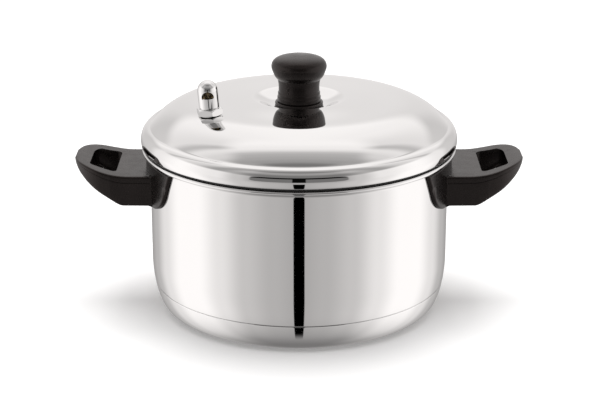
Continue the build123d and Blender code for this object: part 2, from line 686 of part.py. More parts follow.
with BuildPart() as seat_upright:
    with BuildSketch(Plane.XY.offset(STEM_TOP + GAP)):
        Circle(WHISTLE_BORE - STEM_CLEARANCE)
        Circle(STEM_BORE, mode=Mode.SUBTRACT)
    extrude(amount=SEAT_TOP - STEM_TOP - GAP)
whistle_seat = on_vent(seat_upright)
whistle_seat.part.label = "whistle_seat"
export_step(whistle_seat.part, "parts/whistle_seat.step")

# Domed bell with a half-moon mouth.
with BuildPart() as bell_upright:
    with BuildSketch(Plane.XZ):
        with BuildLine():
            Line((BELL_RADIUS, HEX_TOP), (BELL_RADIUS, BELL_TOP - BELL_RADIUS))
            bell_dome = CenterArc((0, BELL_TOP - BELL_RADIUS), BELL_RADIUS, 0, 90)
            bell_inside = CenterArc((0, BELL_TOP - BELL_RADIUS), BELL_RADIUS - BELL_WALL, 0, 90)
            Line(bell_dome @ 1, bell_inside @ 1)
            Polyline(bell_inside @ 0, (BELL_RADIUS - BELL_WALL, HEX_TOP), (BELL_RADIUS, HEX_TOP))
        make_face()
    revolve(axis=Axis.Z)
    with BuildSketch(Plane.XZ):
        with BuildLine():
            sill = Line((-WINDOW_HALF_WIDTH, WINDOW_BOTTOM), (WINDOW_HALF_WIDTH, WINDOW_BOTTOM))
            ThreePointArc(sill @ 1, (0, WINDOW_BOTTOM + WINDOW_HEIGHT), sill @ 0)
        make_face()
    extrude(amount=2 * BELL_RADIUS, mode=Mode.SUBTRACT)
whistle_bell = on_vent(bell_upright)
whistle_bell.part.label = "whistle_bell"
export_step(whistle_bell.part, "parts/whistle_bell.step")

# The languid closes the bell below the mouth, apart from a slit along its front edge.
with BuildPart() as languid_upright:
    with BuildSketch(Plane.XY.offset(WINDOW_BOTTOM - SHEET)):
        Circle(BELL_RADIUS - BELL_WALL)
        with Locations((0, -BELL_RADIUS)):
            Rectangle(2 * BELL_RADIUS, 2 * (BELL_WALL + LANGUID_SLIT), mode=Mode.SUBTRACT)
    extrude(amount=SHEET)
whistle_languid = on_vent(languid_upright)
whistle_languid.part.label = "whistle_languid"
export_step(whistle_languid.part, "parts/whistle_languid.step")


# ---------------------------------------------------------------- steaming rack

# Perforated plate with a turned-up rim.
with BuildPart() as rack_plate:
    with BuildSketch(Plane.XY.offset(RACK_LEVEL)):
        Circle(RACK_RADIUS)
    extrude(amount=RACK_SHEET)
    with BuildSketch(Plane.XY.offset(RACK_LEVEL)):
        Circle(RACK_RADIUS)
        Circle(RACK_RADIUS - RACK_SHEET, mode=Mode.SUBTRACT)
    extrude(amount=RACK_RIM_TOP - RACK_LEVEL)
    with BuildSketch(Plane.XY.offset(RACK_LEVEL)):
        for ring_number in range(1, RACK_RINGS + 1):
            with PolarLocations(ring_number * RACK_RING_STEP, ring_number * RACK_HOLES_PER_RING):
                Circle(RACK_HOLE)
    extrude(amount=RACK_SHEET, mode=Mode.SUBTRACT)
rack_plate.part.label = "rack_plate"
export_step(rack_plate.part, "parts/rack_plate.step")

# Each leg is a wire loop: down from the plate, along the pot's floor and up again.
with BuildPart() as rack_leg:
    with BuildLine(Plane.YZ.offset(LEG_RADIUS)) as leg_path:
        FilletPolyline(
            (-LEG_SPREAD, RACK_LEVEL), (-LEG_SPREAD, LEG_FOOT + LEG_WIRE),
            (LEG_SPREAD, LEG_FOOT + LEG_WIRE), (LEG_SPREAD, RACK_LEVEL), radius=LEG_BEND,
        )
    with BuildSketch(Plane(origin=(LEG_RADIUS, -LEG_SPREAD, RACK_LEVEL), z_dir=(0, 0, -1))):
        Circle(LEG_WIRE)
    sweep()

with BuildPart() as rack_legs:
    with PolarLocations(0, 3, start_angle=90):
        add(rack_leg.part)
rack_legs.part.label = "rack_legs"
export_step(rack_legs.part, "parts/rack_legs.step")
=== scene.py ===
import json
import math

import bmesh
import bpy
import numpy as np
from mathutils import Matrix, Vector


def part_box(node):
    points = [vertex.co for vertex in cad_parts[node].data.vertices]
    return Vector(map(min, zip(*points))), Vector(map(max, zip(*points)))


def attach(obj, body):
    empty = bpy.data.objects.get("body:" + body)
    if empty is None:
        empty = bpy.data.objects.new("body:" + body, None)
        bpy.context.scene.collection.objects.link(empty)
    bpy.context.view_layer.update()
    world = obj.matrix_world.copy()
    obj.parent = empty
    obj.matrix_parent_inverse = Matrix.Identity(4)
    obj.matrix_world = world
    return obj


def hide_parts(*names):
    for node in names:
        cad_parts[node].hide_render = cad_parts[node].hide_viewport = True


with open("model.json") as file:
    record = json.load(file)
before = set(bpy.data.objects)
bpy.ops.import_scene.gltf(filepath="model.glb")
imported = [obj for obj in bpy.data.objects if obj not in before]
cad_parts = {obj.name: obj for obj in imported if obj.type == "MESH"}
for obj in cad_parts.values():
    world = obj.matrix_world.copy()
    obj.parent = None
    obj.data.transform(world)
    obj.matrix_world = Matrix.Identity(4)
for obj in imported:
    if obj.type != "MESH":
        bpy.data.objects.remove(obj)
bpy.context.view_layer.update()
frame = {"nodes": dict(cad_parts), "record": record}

# A stovetop cooker. Lengths below are in millimetres in the shared frame and are turned into
# metres where a mesh is made. The handles lie along X and the whistle side faces -Y.
MM = 0.001
SIDES = {"right": 1, "left": -1}

# ---------------------------------------------------------------- sizes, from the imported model


def span(node):
    """A node's lowest and highest corners, in millimetres."""
    low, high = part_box(node)
    return [value / MM for value in low], [value / MM for value in high]


pot_high = span("pot_body")[1]
cap_high = span("base_cap")[1]
lid_low, lid_high = span("lid")
ferrule_low = span("knob_ferrule")[0]
knob_high = span("knob")[1]
grip_low, grip_high = span("handle_right")

RIM_RADIUS = pot_high[0]
RIM_TOP = pot_high[2]
CAP_TOP = cap_high[2]
LID_RADIUS = lid_high[0]
HEM_LEVEL = lid_low[2]
DOME_TOP = lid_high[2]
SEAT = ferrule_low[2]
KNOB_TOP = knob_high[2]
GRIP_REACH = grip_high[0]
GRIP_BOTTOM = grip_low[2]
FLANGE_TOP = grip_high[2]

SHEET = 0.8                      # lid, base cap and locating band
AROUND = 320                     # facets round every large turned piece
WHISTLE_AROUND = 240
ON_AXIS = 1e-6                   # a point this near the axis lies on it


# ---------------------------------------------------------------- outlines

def arc(centre, radii, start, end, count):
    """Points on an elliptical arc, angles in degrees."""
    angles = np.radians(np.linspace(start, end, count))
    return [(centre[0] + radii[0] * math.cos(a), centre[1] + radii[1] * math.sin(a)) for a in angles]


def smooth_run(points, start_slope, end_slope, count):
    """A cubic spline z(r) through a few points, with its slopes given at both ends."""
    xs = np.array([p[0] for p in points], float)
    zs = np.array([p[1] for p in points], float)
    n = len(xs)
    h = np.diff(xs)
    matrix = np.zeros((n, n))
    right = np.zeros(n)
    matrix[0, 0] = matrix[-1, -1] = 1
    right[0], right[-1] = start_slope, end_slope
    for i in range(1, n - 1):
        matrix[i, i - 1] = h[i]
        matrix[i, i] = 2 * (h[i] + h[i - 1])
        matrix[i, i + 1] = h[i - 1]
        right[i] = 3 * (h[i] * (zs[i] - zs[i - 1]) / h[i - 1] + h[i - 1] * (zs[i + 1] - zs[i]) / h[i])
    slopes = np.linalg.solve(matrix, right)
    out = []
    for x in np.linspace(xs[0], xs[-1], count):
        k = min(int(np.searchsorted(xs, x, side="right")) - 1, n - 2)
        t = (x - xs[k]) / h[k]
        a = (2 * t**3 - 3 * t**2 + 1) * zs[k] + (t**3 - 2 * t**2 + t) * h[k] * slopes[k]
        b = (3 * t**2 - 2 * t**3) * zs[k + 1] + (t**3 - t**2) * h[k] * slopes[k + 1]
        out.append((float(x), float(a + b)))
    return out


def clean(points, least=0.02):
    """The same outline without doubled points."""
    out = [points[0]]
    for p in points[1:]:
        if math.dist(p, out[-1]) > least:
            out.append(p)
    return out


def shifted(points, distance):
    """An open outline moved to its right by a distance."""
    p = np.array(points, float)
    along = np.gradient(p, axis=0)
    along /= np.linalg.norm(along, axis=1)[:, None]
    return [tuple(q) for q in p + distance * np.stack([along[:, 1], -along[:, 0]], 1)]


# ---------------------------------------------------------------- meshes

def finish_mesh(name, mesh, body, material, stands_for=(), sharp=32):
    """Makes the piece's object, shades it, gives it its material, hangs it on its body and hides the parts it
    stands for.
    """
    mesh.validate()
    piece = bpy.data.objects.new(name, mesh)
    bpy.context.scene.collection.objects.link(piece)
    for polygon in mesh.polygons:
        polygon.use_smooth = True
    mesh.set_sharp_from_angle(angle=math.radians(sharp))
    mesh.materials.append(material)
    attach(piece, body)
    if stands_for:
        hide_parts(*stands_for)
    return piece


def mesh_from(name, verts, faces):
    """A mesh from points in millimetres, its doubled points merged and every face turned outward."""
    mesh = bpy.data.meshes.new(name)
    mesh.from_pydata([tuple(c * MM for c in v) for v in verts], [], faces)
    work = bmesh.new()
    work.from_mesh(mesh)
    bmesh.ops.remove_doubles(work, verts=work.verts, dist=1e-6)
    bmesh.ops.recalc_face_normals(work, faces=work.faces)
    work.to_mesh(mesh)
    work.free()
    return mesh


def ring_faces(rings, closed):
    """Faces between neighbouring rings of vertices. A ring on the axis repeats one vertex."""
    pairs = list(zip(rings, rings[1:]))
    if closed:
        pairs.append((rings[-1], rings[0]))
    faces = []
    for low, high in pairs:
        for k in range(len(low)):
            m = (k + 1) % len(low)
            corners = list(dict.fromkeys([low[k], low[m], high[m], high[k]]))
            if len(corners) > 2:
                faces.append(corners)
    return faces


def lathe_mesh(name, outline, closed=True):
    """Turns an outline of (r, z) about the Z axis. Points on the axis become single vertices."""
    outline = clean(outline)
    verts, rings = [], []
    for r, z in outline:
        if r < ON_AXIS:
            rings.append([len(verts)] * AROUND)
            verts.append((0, 0, z))
            continue
        rings.append(list(range(len(verts), len(verts) + AROUND)))
        for k in range(AROUND):
            a = 2 * math.pi * k / AROUND
            verts.append((r * math.cos(a), r * math.sin(a), z))
    return mesh_from(name, verts, ring_faces(rings, closed and outline[0][0] > ON_AXIS))


# ---------------------------------------------------------------- materials

def new_material(name):
    """A node material, its tree and its shader."""
    material = bpy.data.materials.new(name)
    material.use_nodes = True
    tree = material.node_tree
    return material, tree, tree.nodes["Principled BSDF"]


def node(tree, kind, inputs=None, **settings):
    """A shader node with its settings and socket values."""
    made = tree.nodes.new(kind)
    for key, value in settings.items():
        setattr(made, key, value)
    for key, value in (inputs or {}).items():
        made.inputs[key].default_value = value
    return made


def object_noise(tree, scale, detail=4.0, rough=0.5, stretch=None):
    """Noise in the object's own space, optionally stretched."""
    coordinates = node(tree, "ShaderNodeTexCoord")
    noise = node(tree, "ShaderNodeTexNoise", {"Scale": scale, "Detail": detail, "Roughness": rough})
    if stretch:
        mapping = node(tree, "ShaderNodeMapping", {"Scale": stretch})
        tree.links.new(coordinates.outputs["Object"], mapping.inputs["Vector"])
        tree.links.new(mapping.outputs["Vector"], noise.inputs["Vector"])
    else:
        tree.links.new(coordinates.outputs["Object"], noise.inputs["Vector"])
    return noise


def spread(tree, source, low, high, start=0.3, end=0.7):
    """Maps a texture's value to a range."""
    limits = {"From Min": start, "From Max": end, "To Min": low, "To Max": high}
    made = node(tree, "ShaderNodeMapRange", limits)
    tree.links.new(source, made.inputs["Value"])
    return made.outputs["Result"]


def two_tone(tree, shader, source, first, second, start=0.0, end=1.0):
    """Colours the surface between two tones, by a texture's value from start to end."""
    ramp = node(tree, "ShaderNodeValToRGB")
    for element, position, tone in zip(ramp.color_ramp.elements, (start, end), (first, second)):
        element.position = position
        element.color = (*tone, 1)
    tree.links.new(source, ramp.inputs["Fac"])
    tree.links.new(ramp.outputs["Color"], shader.inputs["Base Color"])


def add_bump(tree, shader, height, strength, distance):
    """Bumps the surface by a texture's value, the distance in metres."""
    bump = node(tree, "ShaderNodeBump", {"Strength": strength, "Distance": distance})
    tree.links.new(height, bump.inputs["Height"])
    tree.links.new(bump.outputs["Normal"], shader.inputs["Normal"])


def polished_steel():
    """Mirror-polished stainless sheet: faint buffing haze and a very slight waviness."""
    material, tree, shader = new_material("polished_steel")
    shader.inputs["Metallic"].default_value = 1.0
    shader.inputs["IOR"].default_value = 2.5
    tone = object_noise(tree, 9.0, detail=2.0)
    two_tone(tree, shader, tone.outputs["Fac"], (0.83, 0.828, 0.825), (0.88, 0.878, 0.876))
    haze = object_noise(tree, 35.0, detail=5.0, rough=0.6)
    tree.links.new(spread(tree, haze.outputs["Fac"], 0.015, 0.035), shader.inputs["Roughness"])
    wave = object_noise(tree, 14.0, detail=1.0)
    add_bump(tree, shader, wave.outputs["Fac"], 0.02, 0.002)
    return material


def satin_steel():
    """Brushed stainless for fasteners, brackets and the rack."""
    material, tree, shader = new_material("satin_steel")
    shader.inputs["Metallic"].default_value = 1.0
    grain = object_noise(tree, 260.0, detail=3.0, stretch=(1, 1, 9))
    two_tone(tree, shader, grain.outputs["Fac"], (0.56, 0.56, 0.56), (0.72, 0.72, 0.715))
    tree.links.new(spread(tree, grain.outputs["Fac"], 0.2, 0.38), shader.inputs["Roughness"])
    add_bump(tree, shader, grain.outputs["Fac"], 0.15, 0.0001)
    return material


def bakelite():
    """Black moulded phenolic: warm black, soft sheen, fine moulding texture and paler rubbed spots."""
    material, tree, shader = new_material("bakelite")
    mottle = object_noise(tree, 55.0, detail=5.0, rough=0.6)
    black, worn = (0.0035, 0.0026, 0.0024), (0.008, 0.006, 0.0055)
    two_tone(tree, shader, mottle.outputs["Fac"], black, worn, 0.35, 0.75)
    wear = object_noise(tree, 120.0, detail=6.0, rough=0.65)
    tree.links.new(spread(tree, wear.outputs["Fac"], 0.2, 0.34), shader.inputs["Roughness"])
    pits = object_noise(tree, 900.0, detail=2.0)
    add_bump(tree, shader, pits.outputs["Fac"], 0.12, 0.0002)
    shader.inputs["IOR"].default_value = 1.5
    shader.inputs["Specular IOR Level"].default_value = 0.38
    shader.inputs["Specular Tint"].default_value = (1.0, 0.88, 0.85, 1)
    return material


def brass():
    """Turned brass, a little stained."""
    material, tree, shader = new_material("brass")
    shader.inputs["Metallic"].default_value = 1.0
    stain = object_noise(tree, 180.0, detail=4.0)
    two_tone(tree, shader, stain.outputs["Fac"], (0.50, 0.34, 0.13), (0.78, 0.58, 0.28))
    tree.links.new(spread(tree, stain.outputs["Fac"], 0.2, 0.34), shader.inputs["Roughness"])
    return material


def seal_rubber():
    """Matt black rubber with a fine grain."""
    material, tree, shader = new_material("seal_rubber")
    grain = object_noise(tree, 400.0, detail=3.0)
    two_tone(tree, shader, grain.outputs["Fac"], (0.004, 0.004, 0.004), (0.009, 0.009, 0.009))
    tree.links.new(spread(tree, grain.outputs["Fac"], 0.6, 0.8), shader.inputs["Roughness"])
    add_bump(tree, shader, grain.outputs["Fac"], 0.2, 0.0001)
    return material


def aluminium():
    """Dull cast aluminium."""
    material, tree, shader = new_material("aluminium")
    shader.inputs["Metallic"].default_value = 1.0
    grain = object_noise(tree, 120.0, detail=3.0)
    two_tone(tree, shader, grain.outputs["Fac"], (0.66, 0.67, 0.68), (0.78, 0.79, 0.80))
    tree.links.new(spread(tree, grain.outputs["Fac"], 0.3, 0.45), shader.inputs["Roughness"])
    return material


STEEL = polished_steel()
SATIN = satin_steel()
BAKELITE = bakelite()
BRASS = brass()
RUBBER = seal_rubber()
ALUMINIUM = aluminium()

SLOT_MATERIALS = {
    "polished_steel": STEEL, "satin_steel": SATIN, "bakelite": BAKELITE,
    "brass": BRASS, "seal_rubber": RUBBER, "aluminium": ALUMINIUM,
}
for part in frame["record"]["subparts"]:
    cad_object = frame["nodes"][part["node"]]
    cad_object.data.materials.clear()
    cad_object.data.materials.append(SLOT_MATERIALS[part["material_slot"]])


# ---------------------------------------------------------------- pot

WALL_RADIUS = RIM_RADIUS - 5.4
WALL = 1.0
CORNER_RADIAL = 12.3
CORNER_HEIGHT = 39.5
CORNER_CENTRE = WALL_RADIUS - CORNER_RADIAL
FLOOR_UNDERSIDE = 6.3
FLOOR_TOP = FLOOR_UNDERSIDE + WALL
FLARE_START = RIM_TOP - 6.2
FLARE_RADIUS = 4.0
FLARE_ANGLE = 62
BEAD_RADIUS = 1.45               # the rolled rim
CAP_STEP = 0.2                   # how far the pot steps in behind the cap
CAP_GROOVE = 0.5                 # open line above the cap's edge
BASE_GROOVES = (26, 62)          # inner radii of the rings pressed into the underside
GROOVE_DEPTH = 0.3


def corner_arc(radial, height, low, high, count=24):
    """The elliptical corner between two levels, seen as an outline going up."""
    start = math.degrees(math.asin(max(-1.0, (low - CORNER_HEIGHT) / height)))
    end = math.degrees(math.asin((high - CORNER_HEIGHT) / height))
    return arc((CORNER_CENTRE, CORNER_HEIGHT), (radial, height), start, end, count)


def make_pot():
    """Drawn shell: floor, stepped corner, wall, flare and rolled rim."""
    bead_centre = (RIM_RADIUS - BEAD_RADIUS, RIM_TOP - BEAD_RADIUS)
    flare_centre = (WALL_RADIUS + FLARE_RADIUS, FLARE_START)
    flare_end = 180 - FLARE_ANGLE
    step = CAP_TOP + CAP_GROOVE
    edge = corner_arc(CORNER_RADIAL, CORNER_HEIGHT, step, step, 1)[0]
    outside = [(0, FLOOR_UNDERSIDE)]
    outside += corner_arc(CORNER_RADIAL - CAP_STEP, CORNER_HEIGHT - FLOOR_UNDERSIDE, FLOOR_UNDERSIDE, step)
    outside += [(edge[0] - 0.15, step), (edge[0] - 0.05, step + 0.04)]
    outside += corner_arc(CORNER_RADIAL, CORNER_HEIGHT, step + 0.15, CORNER_HEIGHT, 40)
    outside += [(WALL_RADIUS, z) for z in np.linspace(CORNER_HEIGHT + 2, FLARE_START, 30)]
    outside += arc(flare_centre, (FLARE_RADIUS, FLARE_RADIUS), 180, flare_end, 12)
    outside += arc(bead_centre, (BEAD_RADIUS, BEAD_RADIUS), -128, 155, 40)
    inside = arc(flare_centre, (FLARE_RADIUS + WALL, FLARE_RADIUS + WALL), flare_end, 180, 12)
    inside += [(WALL_RADIUS - WALL, z) for z in np.linspace(FLARE_START - 1, CORNER_HEIGHT + 1, 20)]
    inside += corner_arc(
        CORNER_RADIAL - WALL, CORNER_HEIGHT - FLOOR_TOP, FLOOR_TOP, CORNER_HEIGHT, 30,
    )[::-1]
    inside += [(80, FLOOR_TOP), (40, FLOOR_TOP), (0, FLOOR_TOP)]
    mesh = lathe_mesh("pot_shell", outside + inside, closed=False)
    finish_mesh("pot_shell", mesh, "pot", STEEL, ["pot_body"])


def make_base_pan():
    """The bonded cap under the pot, with a softened top edge and two pressed rings below."""
    outside = [(0, 0), (24, 0)]
    for groove in BASE_GROOVES:
        outside += [(groove, 0.0), (groove + 0.5, GROOVE_DEPTH)]
        outside += [(groove + 1.5, GROOVE_DEPTH), (groove + 2, 0.0)]
    outside += [(80, 0), (92, 0)]
    outside += corner_arc(CORNER_RADIAL, CORNER_HEIGHT, 0.0, CAP_TOP - 0.12, 60)
    edge = outside[-1]
    outside += [(edge[0] - 0.04, CAP_TOP - 0.02), (edge[0] - 0.15, CAP_TOP)]
    inside = corner_arc(CORNER_RADIAL - SHEET, CORNER_HEIGHT - SHEET, SHEET, CAP_TOP, 30)[::-1]
    inside += [(60, SHEET), (0, SHEET)]
    mesh = lathe_mesh("base_pan", outside + inside, closed=False)
    finish_mesh("base_pan", mesh, "pot", STEEL, ["base_cap"])


make_pot()
make_base_pan()


# ---------------------------------------------------------------- lid

ROLL_RADIAL = 6.9
ROLL_HEIGHT = 9.8
ROLL_CENTRE = (LID_RADIUS - ROLL_RADIAL, HEM_LEVEL + 3.96)
ROLL_START = 89                  # degrees, just past the crease
ROLL_END = -18
HEM_RADIUS = 1.2
HEM_INNER = 111.2
SEAT_RADIUS = 18.2
DISH_RADIUS = 35.0
DISH_SLOPE = -0.05               # of the surface across the dish's edge
CREASE_SLOPE = -1.136


def make_lid():
    """One spun sheet from the dished seat to the hem that turns in under the roll."""
    dish = [(SEAT_RADIUS - 1, SEAT), (SEAT_RADIUS + 0.2, SEAT + 0.01)]
    dish += [(26.5, SEAT + 2.4), (DISH_RADIUS, DOME_TOP)]
    dome = [(DISH_RADIUS + 0.3, DOME_TOP - 0.015), (62, 155.3), (84, 153.0), (98, 147.0)]
    dome += [(ROLL_CENTRE[0] - 0.2, ROLL_CENTRE[1] + ROLL_HEIGHT + 0.2)]
    outer = [(0.0, SEAT), (6.0, SEAT), (12.0, SEAT)]
    outer += smooth_run(dish, 0.0, DISH_SLOPE, 60)
    outer += smooth_run(dome, DISH_SLOPE, CREASE_SLOPE, 110)
    outer += arc(ROLL_CENTRE, (ROLL_RADIAL, ROLL_HEIGHT), ROLL_START, ROLL_END, 60)
    end = outer[-1]
    slope = np.array(outer[-1]) - np.array(outer[-2])
    slope /= np.linalg.norm(slope)
    hem_centre = (end[0] + HEM_RADIUS * slope[1], end[1] - HEM_RADIUS * slope[0])
    start = math.degrees(math.atan2(end[1] - hem_centre[1], end[0] - hem_centre[0]))
    outer += arc(hem_centre, (HEM_RADIUS, HEM_RADIUS), start, -90, 12)
    outer += [(HEM_INNER + 1.5, hem_centre[1] - HEM_RADIUS), (HEM_INNER, hem_centre[1] - HEM_RADIUS)]
    outer = clean(outer, 0.05)
    inner = shifted(outer, SHEET)
    inner[0] = (0.0, inner[0][1])
    mesh = lathe_mesh("lid_dome", outer + inner[::-1], closed=False)
    finish_mesh("lid_dome", mesh, "lid", STEEL, ["lid"])


make_lid()


# ---------------------------------------------------------------- knob

COLLAR_RADIUS = 16.7             # to where its rounded edge starts
COLLAR_HEIGHT = 1.9
SCREW_HOLE = 2.8
INSERT_RADIUS = 4.0
INSERT_DEPTH = 15.0


def over_seat(points):
    """Outline points whose heights are given over the knob's seat."""
    return [(r, SEAT + z) for r, z in points]


def smooth_angle(points, count):
    """A smooth open curve through a few points, whichever way it turns."""
    p = np.array(points, float)
    lengths = np.concatenate([[0], np.cumsum(np.linalg.norm(np.diff(p, axis=0), axis=1))])
    first = (p[1] - p[0]) / lengths[1]
    last = (p[-1] - p[-2]) / (lengths[-1] - lengths[-2])
    r = smooth_run(list(zip(lengths, p[:, 0])), first[0], last[0], count)
    z = smooth_run(list(zip(lengths, p[:, 1])), first[1], last[1], count)
    return [(a[1], b[1]) for a, b in zip(r, z)]


def make_collar():
    """The low collar under the knob, its edge rounded."""
    half = COLLAR_HEIGHT / 2
    collar = over_seat([(SCREW_HOLE, 0), (14, 0), (COLLAR_RADIUS, 0)])
    collar += arc((COLLAR_RADIUS, SEAT + half), (0.9, half), -80, 80, 18)
    collar += over_seat([(16.6, COLLAR_HEIGHT), (13.3, COLLAR_HEIGHT), (SCREW_HOLE, COLLAR_HEIGHT)])
    mesh = lathe_mesh("knob_collar", collar)
    finish_mesh("knob_collar", mesh, "lid", BAKELITE, ["knob_ferrule"])


def make_knob():
    """The knob, with two fine steps in the neck and an undercut head."""
    base = COLLAR_HEIGHT
    bore = over_seat([(0, base + INSERT_DEPTH), (INSERT_RADIUS, base + INSERT_DEPTH), (INSERT_RADIUS, base)])
    foot = over_seat([
        (15.4, base), (15.75, base + 0.12), (15.88, base + 0.4), (15.9, 3.6), (15.9, 5.45), (15.82, 5.66),
        (15.62, 5.78), (15.5, 5.95), (15.42, 7.4), (15.4, 8.75), (15.3, 8.95), (15.1, 9.08), (15.0, 9.25),
    ])
    neck = over_seat([(14.97, 9.6), (14.9, 12.5), (15.1, 15.5), (15.6, 18.4)])
    undercut = over_seat([(15.75, 18.8), (16.5, 19.5), (17.7, 21.0), (18.9, 23.5), (19.3, 24.6)])
    head = over_seat([
        (19.45, 25.0), (20.1, 27.2), (20.12, 29.0), (19.4, 31.2), (17.7, 33.1), (14.5, 34.6), (9.5, 35.6),
    ])
    head.append((4.0, KNOB_TOP - 0.05))
    profile = bore + foot + smooth_angle(neck, 24) + smooth_angle(undercut, 20) + smooth_angle(head, 60)
    mesh = lathe_mesh("knob_grip", profile + [(0, KNOB_TOP)], closed=False)
    finish_mesh("knob_grip", mesh, "lid", BAKELITE, ["knob"])


make_collar()
make_knob()


# ---------------------------------------------------------------- lid fittings

def make_seal():
    """The thin black seal on the hem, with softened edges."""
    low, high = span("lid_seal")
    soft = 0.35
    centre = high[0] - soft
    section = [(HEM_INNER, high[2]), (HEM_INNER, low[2])]
    section += arc((centre, low[2] + soft), (soft, soft), -90, 0, 6)
    section += arc((centre, high[2] - soft), (soft, soft), 0, 90, 6)
    mesh = lathe_mesh("rim_seal", section)
    finish_mesh("rim_seal", mesh, "lid", RUBBER, ["lid_seal"])


def make_skirt():
    """The locating band under the lid, with a rolled lower edge."""
    low, high = span("lid_skirt")
    bottom, outer = low[2], high[0]
    inner = outer - SHEET
    section = [(inner, high[2]), (inner, bottom + 2), (inner - 0.3, bottom + 1.2)]
    section += [(inner - 0.9, bottom + 0.5), (inner - 1.1, bottom + 0.2), (inner - 0.8, bottom)]
    section += [(inner - 0.4, bottom + 0.05), (outer - 0.4, bottom + 0.6), (outer - 0.1, bottom + 1.4)]
    section += [(outer, bottom + 2.4), (outer, high[2])]
    mesh = lathe_mesh("locating_band", section)
    finish_mesh("locating_band", mesh, "lid", SATIN, ["lid_skirt"])


make_seal()
make_skirt()


# ---------------------------------------------------------------- whistle

VENT_FOOT = (-63.2, -38.2, 154.6)
VENT_LEAN = 5.2                  # degrees, square to the dome
HEX_FLAT = 8.45                  # half the width across flats
HEX_TURN = 44.0                  # degrees
HEX_BOTTOM = 0.35
HEX_TOP = 5.3
SPIGOT = 6.3
BELL_RADIUS = 7.35
BELL_WALL = 1.0
BELL_TOP = 25.4
WINDOW_SILL = 13.4
WINDOW_HALF = 4.2
WINDOW_HEIGHT = 5.4
SPIGOT_TOP = 8.9
MOUTH = 5.0                      # radius of the base's open underside
MOUTH_TOP = 3.4
THROAT = 3.4
CHAMFER = 0.15                   # on the hexagon's flats
CHAMFER_SLOPE = 0.62


def vent_matrix():
    """From a whistle drawn upright on Z with its mouth to -Y, to its place on the vent, in metres."""
    heading = math.atan2(VENT_FOOT[1], VENT_FOOT[0])
    lean = math.radians(VENT_LEAN)
    z = Vector((math.sin(lean) * math.cos(heading), math.sin(lean) * math.sin(heading), math.cos(lean)))
    x = Vector((math.cos(heading + math.pi / 2), math.sin(heading + math.pi / 2), 0))
    y = z.cross(x)
    place = Matrix.Identity(4)
    for row in range(3):
        place[row][0], place[row][1], place[row][2] = x[row], y[row], z[row]
        place[row][3] = VENT_FOOT[row] * MM
    return place @ Matrix.Rotation(-(heading + math.pi / 2), 4, "Z")


def hexagon(angle):
    """The distance out to a hexagonal collar's side at an angle, in degrees."""
    turn = (angle - HEX_TURN) % 60 - 30
    return HEX_FLAT / math.cos(math.radians(turn))


def hex_band(bottom, top):
    """Outline points of a hexagonal band, its corners chamfered like a nut's."""
    flat = HEX_FLAT - CHAMFER
    edge = 0.04

    def drop(angle):
        """How far the chamfer has come down at the band's outside."""
        return CHAMFER + (hexagon(angle) - HEX_FLAT) * CHAMFER_SLOPE

    def halfway(angle):
        """A radius half-way along the chamfer."""
        return flat + (hexagon(angle) - flat) * 0.5

    return [
        lambda a: (flat - 0.6, bottom),
        lambda a: (flat, bottom),
        lambda a: (halfway(a), bottom + drop(a) * 0.42),
        lambda a: (hexagon(a) - edge, bottom + drop(a)),
        lambda a: (hexagon(a), bottom + drop(a) + 0.06),
        lambda a: (hexagon(a), top - drop(a) - 0.06),
        lambda a: (hexagon(a) - edge, top - drop(a)),
        lambda a: (halfway(a), top - drop(a) * 0.42),
        lambda a: (flat, top),
        lambda a: (flat - 0.6, top),
    ]


def turned_mesh(name, rows):
    """Like a lathe, but a row may change its radius and height round the axis."""
    verts, rings = [], []
    for row in rows:
        ring = []
        for k in range(WHISTLE_AROUND):
            degrees = HEX_TURN + 360 * k / WHISTLE_AROUND
            r, z = row(degrees) if callable(row) else row
            if r < ON_AXIS and ring:
                ring.append(ring[0])
                continue
            a = math.radians(degrees)
            ring.append(len(verts))
            verts.append((r * math.cos(a), r * math.sin(a), z))
        rings.append(ring)
    return mesh_from(name, verts, ring_faces(rings, len(set(rings[0])) > 1))


def boolean(mesh, other, operation):
    """One closed mesh joined with another, or cut by it."""
    subject = bpy.data.objects.new("subject", mesh)
    tool = bpy.data.objects.new("tool", other)
    for one in (subject, tool):
        bpy.context.scene.collection.objects.link(one)
    modifier = subject.modifiers.new("boolean", "BOOLEAN")
    modifier.object = tool
    modifier.operation = operation
    modifier.solver = "EXACT"
    bpy.context.view_layer.update()
    result = bpy.data.meshes.new_from_object(subject.evaluated_get(bpy.context.evaluated_depsgraph_get()))
    name = mesh.name
    for one in (subject, tool):
        bpy.data.objects.remove(one)
    bpy.data.meshes.remove(mesh)
    bpy.data.meshes.remove(other)
    result.name = name
    return result


def prism_mesh(name, outline, start, end, place):
    """A closed prism: an outline of (a, b) pairs pulled from start to end, put in place by a function."""
    count = len(outline)
    verts = [place(a, b, start) for a, b in outline] + [place(a, b, end) for a, b in outline]
    faces = [list(range(count))[::-1], list(range(count, 2 * count))]
    for k in range(count):
        m = (k + 1) % count
        faces.append([k, m, count + m, count + k])
    return mesh_from(name, verts, faces)


